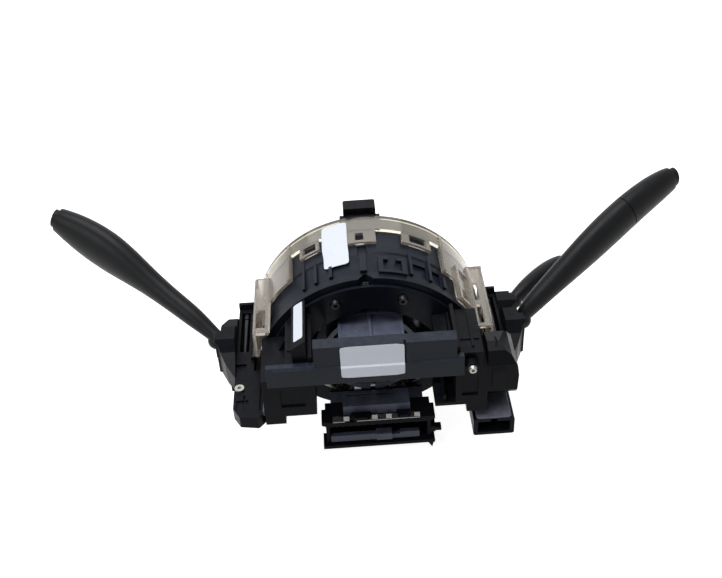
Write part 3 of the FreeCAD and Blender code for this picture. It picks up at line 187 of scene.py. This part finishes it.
coverPlastic = clearPolycarbonate("clearPolycarbonate", tint="#f6f1e0", deep="#ebe2c8", clearness=0.97,
                                  rough=(0.05, 0.14), gloss=0.2)
# the legs are spark-eroded inside, so they scatter light and read as a warm grey
legPlastic = clearPolycarbonate("frostedPolycarbonate", tint="#cdc5ba", deep="#beb5a9", clearness=0.84,
                                rough=(0.16, 0.28), gloss=0.45)

# plated metal: turned or rolled parts with a thin layer on them, the score's height in metres
metalFinish = {"brushMm": 0.25, "brushLength": 12.0, "blotchMm": 2.5, "scoreHeight": 0.00002}


def platedMetal(name, base, dull, rough):
    # bright, with streaks that break the reflection, and dull spots where the plating has gone
    material, tree = newMaterial(name)
    place = addNode(tree, "ShaderNodeTexCoord")
    stretch = addNode(tree, "ShaderNodeMapping", {"Scale": (1.0, 1.0, 1 / metalFinish["brushLength"])},
                      {"Vector": place.outputs["Object"]})
    streak = addNode(tree, "ShaderNodeTexNoise", {"Scale": 1 / (metalFinish["brushMm"] * mm), "Detail": 2.0},
                     {"Vector": stretch.outputs["Vector"]})
    blotch = addNode(tree, "ShaderNodeTexNoise", {"Scale": 1 / (metalFinish["blotchMm"] * mm), "Detail": 4.0},
                     {"Vector": place.outputs["Object"]})
    tone = addNode(tree, "ShaderNodeMix", {"data_type": "RGBA", 6: linearColour(base), 7: linearColour(dull)},
                   {0: blotch.outputs["Fac"]})
    worn = addNode(tree, "ShaderNodeMapRange",
                   {"From Min": 0.3, "From Max": 0.7, "To Min": rough[0], "To Max": rough[1]},
                   {"Value": streak.outputs["Fac"]})
    bump = addNode(tree, "ShaderNodeBump", {"Strength": 0.15, "Distance": metalFinish["scoreHeight"]},
                   {"Height": streak.outputs["Fac"]})
    shader = addNode(tree, "ShaderNodeBsdfPrincipled", {"Metallic": 1.0},
                     {"Base Color": tone.outputs[2], "Roughness": worn.outputs["Result"],
                      "Normal": bump.outputs["Normal"]})
    addNode(tree, "ShaderNodeOutputMaterial", {}, {"Surface": shader.outputs[0]})
    return material


# zinc plate: a cool grey that still flashes
zincSteel = platedMetal("zincPlatedSteel", base="#a9a8a4", dull="#7f7e79", rough=(0.26, 0.44))
# rods and screws with a black oxide layer show little but a line of light
darkSteel = platedMetal("blackOxideSteel", base="#3c3c3f", dull="#262628", rough=(0.24, 0.4))
# tin over brass: the brightest metal, with a warm tone where it is thin
tinPins = platedMetal("tinPlatedBrass", base="#cfcdc4", dull="#b0a98e", rough=(0.2, 0.36))

# pitch of the copper tracks in the flat ribbon
trackPitchMm = 1.5


def ribbonFilm():
    # polyester film over flat copper tracks: orange brown bands, glossy
    material, tree = newMaterial("polyesterRibbon")
    place = addNode(tree, "ShaderNodeTexCoord")
    split = addNode(tree, "ShaderNodeSeparateXYZ", {}, {0: place.outputs["Object"]})
    scaled = addNode(tree, "ShaderNodeMath", {"operation": "MULTIPLY", 1: 2 * math.pi / (trackPitchMm * mm)},
                     {0: split.outputs["Y"]})
    tracks = addNode(tree, "ShaderNodeMath", {"operation": "SINE"}, {0: scaled.outputs[0]})
    tone = addNode(tree, "ShaderNodeMix",
                   {"data_type": "RGBA", 6: linearColour("#3a2c1c"), 7: linearColour("#b0703a")},
                   {0: tracks.outputs[0]})
    shader = addNode(tree, "ShaderNodeBsdfPrincipled", {"Roughness": 0.28, "IOR": 1.6},
                     {"Base Color": tone.outputs[2]})
    addNode(tree, "ShaderNodeOutputMaterial", {}, {"Surface": shader.outputs[0]})
    return material


# size of the pattern that stands for the tracks on the circuit board
boardCellMm = 3.0


def solderMask():
    # green lacquer over copper, glossy, slightly lighter where tracks run below
    material, tree = newMaterial("greenSolderMask")
    place = addNode(tree, "ShaderNodeTexCoord")
    tracks = addNode(tree, "ShaderNodeTexVoronoi",
                     {"feature": "DISTANCE_TO_EDGE", "Scale": 1 / (boardCellMm * mm)},
                     {"Vector": place.outputs["Object"]})
    tone = addNode(tree, "ShaderNodeMapRange",
                   {"From Min": 0.02, "From Max": 0.08, "To Min": 1.0, "To Max": 0.0},
                   {"Value": tracks.outputs["Distance"]})
    mix = addNode(tree, "ShaderNodeMix",
                  {"data_type": "RGBA", 6: linearColour("#0e3d22"), 7: linearColour("#2f7a4a")},
                  {0: tone.outputs["Result"]})
    shader = addNode(tree, "ShaderNodeBsdfPrincipled", {"Roughness": 0.3, "IOR": 1.5},
                     {"Base Color": mix.outputs[2]})
    addNode(tree, "ShaderNodeOutputMaterial", {}, {"Surface": shader.outputs[0]})
    return material


# label paper: its thickness and the gap that the glue leaves below it in mm, the scuff's height in metres
paperFinish = {"scuffMm": 2.2, "scuffHeight": 0.00005, "thick": 0.12, "glue": 0.08}


def labelPaper():
    # coated white paper, a little grey and scuffed from handling
    material, tree = newMaterial("coatedLabelPaper")
    place = addNode(tree, "ShaderNodeTexCoord")
    scuff = addNode(tree, "ShaderNodeTexNoise",
                    {"Scale": 1 / (paperFinish["scuffMm"] * mm), "Detail": 8.0, "Roughness": 0.75},
                    {"Vector": place.outputs["Object"]})
    fleck = addNode(tree, "ShaderNodeMapRange",
                    {"From Min": 0.58, "From Max": 0.74, "To Min": 0.0, "To Max": 0.55},
                    {"Value": scuff.outputs["Fac"]})
    tone = addNode(tree, "ShaderNodeMix",
                   {"data_type": "RGBA", 6: linearColour("#cfd4df"), 7: linearColour("#a9afbb")},
                   {0: fleck.outputs["Result"]})
    bump = addNode(tree, "ShaderNodeBump", {"Strength": 0.25, "Distance": paperFinish["scuffHeight"]},
                   {"Height": scuff.outputs["Fac"]})
    shader = addNode(tree, "ShaderNodeBsdfPrincipled", {"Roughness": 0.48, "IOR": 1.45},
                     {"Base Color": tone.outputs[2], "Normal": bump.outputs["Normal"]})
    addNode(tree, "ShaderNodeOutputMaterial", {}, {"Surface": shader.outputs[0]})
    return material


ribbonMaterial = ribbonFilm()
boardMaterial = solderMask()
paperMaterial = labelPaper()
print("materials made")

# each node takes the material of its slot, with a few of their own
slotMaterials = {
    "black_plastic": blackNylon,
    "grey_plastic": greyPaintedLightNylon,
    "clear_plastic": coverPlastic,
    "yellow_plastic": yellowPbt,
    "ribbon_film": ribbonMaterial,
    "zinc_steel": zincSteel,
    "tin_pins": tinPins,
    "board": boardMaterial,
}
ownMaterials = {
    "wiper_stalk": stalkGrip,
    "wiper_end_cap": stalkGrip,
    "indicator_stalk": stalkGrip,
    "indicator_end_cap": stalkGrip,
    "cruise_stalk": stalkGrip,
    "cruise_end_button": stalkGrip,
    "side_socket": blackNylon,
    "rotor_face": blackNylon,
    "drum_housing": drumNylon,
    "drum_arch": drumNylon,
    "arch_lip": drumNylon,
    "rear_plate": drumNylon,
    "bridge_beam": beamPaintedLightNylon,
    "column_shelf": greyPaintedLightNylon,
    "cover_legs": legPlastic,
    "guide_rods": darkSteel,
    "plate_screws": darkSteel,
}
for part in frame["record"]["subparts"]:
    node = frame["nodes"][part["node"]]
    material = ownMaterials.get(part["node"], slotMaterials[part["material_slot"]])
    node.data.materials.clear()
    node.data.materials.append(material)
print("nodes dressed")


def addPiece(mesh, name, material, body):
    # turn a finished bmesh into a named object that rides on a body
    bmesh.ops.recalc_face_normals(mesh, faces=mesh.faces)
    data = bpy.data.meshes.new(name)
    mesh.to_mesh(data)
    mesh.free()
    piece = bpy.data.objects.new(name, data)
    scene.collection.objects.link(piece)
    piece.data.materials.append(material)
    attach(piece, body)


# a bevel is drawn in two steps: this share of it below the top has this share of the inset
bevelStep = {"below": 0.3, "inset": 0.7}


def raisedPiece(name, outline, low, high, bevel, material, body):
    # a moulded lug or plate: an upright wall from the outline, a bevel that is rounded over, a level top
    count = len(outline)
    middleX = sum(x for x, y in outline) / count
    middleY = sum(y for x, y in outline) / count
    rings = []
    for height, inset in [(low, 0.0), (high - bevel, 0.0),
                          (high - bevelStep["below"] * bevel, bevelStep["inset"]), (high, 1.0)]:
        ring = []
        for x, y in outline:
            share = 1 - inset * bevel / math.hypot(x - middleX, y - middleY)
            ring.append((middleX + (x - middleX) * share, middleY + (y - middleY) * share, height))
        rings.append(ring)
    mesh = bmesh.new()
    layers = [[mesh.verts.new(Vector(point) * mm) for point in ring] for ring in rings]
    for below, above in zip(layers, layers[1:]):
        for i in range(count):
            mesh.faces.new([below[i], below[(i + 1) % count], above[(i + 1) % count], above[i]])
    mesh.faces.new(layers[-1])
    mesh.faces.new(list(reversed(layers[0])))
    addPiece(mesh, name, material, body)


def roundedOutline(width, height, radius, steps=5):
    # corner points of a rounded rectangle about its centre, anticlockwise
    points = []
    for cornerX, cornerY, start in [(1, 1, 0), (-1, 1, 90), (-1, -1, 180), (1, -1, 270)]:
        for i in range(steps + 1):
            angle = math.radians(start + 90 * i / steps)
            points.append((cornerX * (width / 2 - radius) + radius * math.cos(angle),
                           cornerY * (height / 2 - radius) + radius * math.sin(angle)))
    return points


def stickerOn(name, width, height, radius, place, body, cells=8, rows=24):
    # a thin sheet cut to a rounded rectangle, laid on a surface by place(u, v, lift)
    mesh = bmesh.new()
    front = {}
    for i in range(cells + 1):
        for j in range(rows + 1):
            u = width * (i / cells - 0.5)
            v = height * (j / rows - 0.5)
            # pull the corner points onto the rounded outline
            overU = abs(u) - (width / 2 - radius)
            overV = abs(v) - (height / 2 - radius)
            if overU > 0 and overV > 0:
                far = math.hypot(overU, overV)
                if far > radius:
                    u = math.copysign(width / 2 - radius + overU * radius / far, u)
                    v = math.copysign(height / 2 - radius + overV * radius / far, v)
            front[i, j] = (u, v)
    layers = []
    for lift in (0.0, paperFinish["thick"]):
        layers.append({k: mesh.verts.new(Vector(place(u, v, lift)) * mm) for k, (u, v) in front.items()})
    low, high = layers
    for i in range(cells):
        for j in range(rows):
            mesh.faces.new([high[i, j], high[i + 1, j], high[i + 1, j + 1], high[i, j + 1]])
            mesh.faces.new([low[i, j + 1], low[i + 1, j + 1], low[i + 1, j], low[i, j]])
    rim = [(i, 0) for i in range(cells)] + [(cells, j) for j in range(rows)]
    rim += [(i, rows) for i in range(cells, 0, -1)] + [(0, j) for j in range(rows, 0, -1)]
    for a, b in zip(rim, rim[1:] + rim[:1]):
        mesh.faces.new([low[a], low[b], high[b], high[a]])
    addPiece(mesh, name, paperMaterial, body)


# lid of the side socket: the real one is closed on top
socketLid = {"centreX": -58.25, "centreY": 75.6, "width": 17.6, "length": 19.4, "radius": 1.8,
             "low": -8.05, "high": -7.2, "bevel": 0.4}
lidOutline = [(socketLid["centreX"] + x, socketLid["centreY"] + y)
              for x, y in roundedOutline(socketLid["width"], socketLid["length"], socketLid["radius"])]
# the lid is painted pale: a painted reflection of the lamps on its top
raisedPiece("socket_lid", lidOutline, socketLid["low"], socketLid["high"], socketLid["bevel"],
            palePaintedReflectionNylon, "module")

# two latch ears of the main connector that reach over the metal strip
latchEars = {"left": [(13.5, 50.3), (11.6, 55.0), (4.6, 55.0), (1.9, 50.3)],
             "right": [(-11.4, 50.3), (-13.2, 55.0), (-17.6, 55.0), (-19.6, 50.3)],
             "low": -34.6, "high": -32.5, "bevel": 0.5}
for side in ("left", "right"):
    raisedPiece("latch_ear_" + side, latchEars[side], latchEars["low"], latchEars["high"], latchEars["bevel"],
                blackNylon, "module")

# thin rib along the inner edge of the left rail, in pale grey as a painted highlight along its edge
railRib = {"inner": 54.6, "outer": 55.4, "front": 52.2, "back": 84.6, "low": 3.8, "high": 6.4, "cut": 0.8,
           "bevel": 0.25}
ribOutline = [(railRib["inner"], railRib["front"]), (railRib["outer"], railRib["front"] + railRib["cut"]),
              (railRib["outer"], railRib["back"] - railRib["cut"]), (railRib["inner"], railRib["back"])]
raisedPiece("rail_rib_painted_highlight", ribOutline, railRib["low"], railRib["high"], railRib["bevel"],
            greyPaintedLightNylon, "module")
print("small pieces made")

# bare sticker over the beam's face and its low step
beamLabel = {"centreX": 0.6, "width": 30.0, "top": 47.3, "stepTop": 35.9, "stepLow": 35.0, "low": 29.0,
             "faceY": 87.2, "leanY": 0.4, "stripY": 88.0, "corner": 1.6}


def onBeam(u, v, lift):
    # v runs down the beam: leaning upper face, short slope, strip face
    s = beamLabel
    z = (s["top"] + s["low"]) / 2 - v
    if z >= s["stepTop"]:
        y = s["faceY"] - s["leanY"] * (z - s["stepTop"]) / (s["top"] - s["stepTop"])
    else:
        t = min((s["stepTop"] - z) / (s["stepTop"] - s["stepLow"]), 1.0)
        y = s["faceY"] + (s["stripY"] - s["faceY"]) * t * t * (3 - 2 * t)
    return (s["centreX"] + u, y + paperFinish["glue"] + lift, z)


stickerOn("beam_label", beamLabel["width"], beamLabel["top"] - beamLabel["low"], beamLabel["corner"],
          onBeam, "module")

# bare narrow sticker along the sloping block behind the left leg
blockLabel = {"from": (37.0, 44.9), "to": (32.5, 48.05), "frontY": 52.2, "length": 26.6, "corner": 0.9}
blockWidth = math.dist(blockLabel["from"], blockLabel["to"])


def onBlock(u, v, lift):
    # u runs up the slope, v along the block
    (lowX, lowZ), (topX, topZ) = blockLabel["from"], blockLabel["to"]
    t = 0.5 + u / blockWidth
    outX, outZ = (topZ - lowZ) / blockWidth, (lowX - topX) / blockWidth
    off = paperFinish["glue"] + lift
    return (lowX + (topX - lowX) * t + outX * off, blockLabel["frontY"] + blockLabel["length"] / 2 + v,
            lowZ + (topZ - lowZ) * t + outZ * off)


stickerOn("block_label", blockWidth, blockLabel["length"], blockLabel["corner"], onBlock, "module")

# bare sticker that bridges from the cover's skirt to the arch
drumLabel = {"middleAngle": 75.2, "width": 13.4, "front": 4.0, "length": 33.0, "corner": 1.8,
             "onCover": 60.12, "onArch": 57.6, "offArch": 0.75, "fallFrom": 23.0, "fallOver": 6.0}


def onDrum(u, v, lift):
    # u runs round the drum, v along it; past the skirt the sheet falls to just above the arch
    s = drumLabel
    y = s["front"] + v + s["length"] / 2
    fall = min(max((y - s["fallFrom"]) / s["fallOver"], 0.0), 1.0)
    fall = fall * fall * (3 - 2 * fall)
    radius = s["onCover"] + (s["onArch"] - s["onCover"] + s["offArch"]) * fall
    angle = math.radians(s["middleAngle"]) - u / s["onCover"]
    return ((radius + lift) * math.cos(angle), y, (radius + lift) * math.sin(angle))


stickerOn("drum_label", drumLabel["width"], drumLabel["length"], drumLabel["corner"], onDrum, "module")
print("labels laid")


def whiteWhereSeen(tree):
    # 1 on rays from the camera and on mirrored or refracted ones, 0 on those that only light the part
    path = addNode(tree, "ShaderNodeLightPath")
    mirrored = addNode(tree, "ShaderNodeMath", {"operation": "MAXIMUM"},
                       {0: path.outputs["Is Glossy Ray"], 1: path.outputs["Is Transmission Ray"]})
    return addNode(tree, "ShaderNodeMath", {"operation": "MAXIMUM"},
                   {0: mirrored.outputs[0], 1: path.outputs["Is Camera Ray"]})


# pale floor under the part: it glows where it is seen, so the background is white, and it takes the shadow
floorSize = {"metres": 6.0, "dropMm": 0.5, "glow": 0.9}
floorZ = cadLow.z - floorSize["dropMm"] * mm
bpy.ops.mesh.primitive_grid_add(x_subdivisions=2, y_subdivisions=2, size=floorSize["metres"],
                                location=(0, 0, floorZ))
floor = bpy.context.object
floor.name = "floor"
floorMaterial, floorTree = newMaterial("paleFloor")
floorSeen = whiteWhereSeen(floorTree)
matt = addNode(floorTree, "ShaderNodeBsdfDiffuse", {"Color": linearColour("#c9c9c9")})
glow = addNode(floorTree, "ShaderNodeMath", {"operation": "MULTIPLY", 1: floorSize["glow"]},
               {0: floorSeen.outputs[0]})
white = addNode(floorTree, "ShaderNodeEmission", {}, {"Strength": glow.outputs[0]})
both = addNode(floorTree, "ShaderNodeAddShader", {}, {0: matt.outputs[0], 1: white.outputs[0]})
addNode(floorTree, "ShaderNodeOutputMaterial", {}, {"Surface": both.outputs[0]})
floor.data.materials.append(floorMaterial)

# the world is white where it is seen, and dim as a light
worldLight = {"dim": 0.1, "white": 1.0}
world = bpy.data.worlds.new("studio")
scene.world = world
world.use_nodes = True
world.node_tree.nodes.clear()
worldSeen = whiteWhereSeen(world.node_tree)
worldLevel = addNode(world.node_tree, "ShaderNodeMapRange",
                     {"To Min": worldLight["dim"], "To Max": worldLight["white"]},
                     {"Value": worldSeen.outputs[0]})
sky = addNode(world.node_tree, "ShaderNodeBackground", {"Color": (1, 1, 1, 1)},
              {"Strength": worldLevel.outputs[0]})
addNode(world.node_tree, "ShaderNodeOutputWorld", {}, {"Surface": sky.outputs[0]})

# soft boxes: over the part, a wide one behind it that level faces mirror, and a weak one by the camera;
# places and sizes in metres, power in watts
softBoxes = [
    {"name": "overhead", "at": (0.12, 0.10, 0.95), "size": 0.7, "power": 9.5},
    {"name": "backdrop", "at": (0.1, -1.15, 0.95), "size": 1.6, "power": 6.0},
    {"name": "besideCamera", "at": (0.75, 0.65, 0.45), "size": 0.5, "power": 3.0},
]
for softBox in softBoxes:
    lamp = bpy.data.lights.new(softBox["name"], "AREA")
    lamp.size = softBox["size"]
    lamp.energy = softBox["power"]
    lampObject = bpy.data.objects.new(softBox["name"], lamp)
    lampObject.location = softBox["at"]
    lampObject.rotation_mode = "QUATERNION"
    lampObject.rotation_quaternion = (-Vector(softBox["at"])).to_track_quat("-Z", "Y")
    scene.collection.objects.link(lampObject)
print("lights set")

# the photograph's view, from behind the column and above: degrees, place in mm, near and far in metres
photoView = {"azimuth": 179.3, "elevation": 38.6, "roll": -3.4, "lens": 50.44, "sensor": 36.0,
             "at": (8.28, 434.53, 358.44), "near": 0.01, "far": 20.0}
azimuth = math.radians(photoView["azimuth"])
elevation = math.radians(photoView["elevation"])
roll = math.radians(photoView["roll"])
back = Vector((math.sin(azimuth) * math.cos(elevation), -math.cos(azimuth) * math.cos(elevation),
               math.sin(elevation)))
right = Vector((0, 0, 1)).cross(back).normalized()
up = back.cross(right)
rolledRight = right * math.cos(roll) + up * math.sin(roll)
rolledUp = up * math.cos(roll) - right * math.sin(roll)
cameraData = bpy.data.cameras.new("photoCamera")
cameraData.lens = photoView["lens"]
cameraData.sensor_width = photoView["sensor"]
cameraData.clip_start = photoView["near"]
cameraData.clip_end = photoView["far"]
camera = bpy.data.objects.new("photoCamera", cameraData)
turn = Matrix((rolledRight, rolledUp, back)).transposed().to_4x4()
camera.matrix_world = Matrix.Translation(Vector(photoView["at"]) * mm) @ turn
scene.collection.objects.link(camera)
scene.camera = camera
scene.view_settings.view_transform = "Standard"
print("camera set")
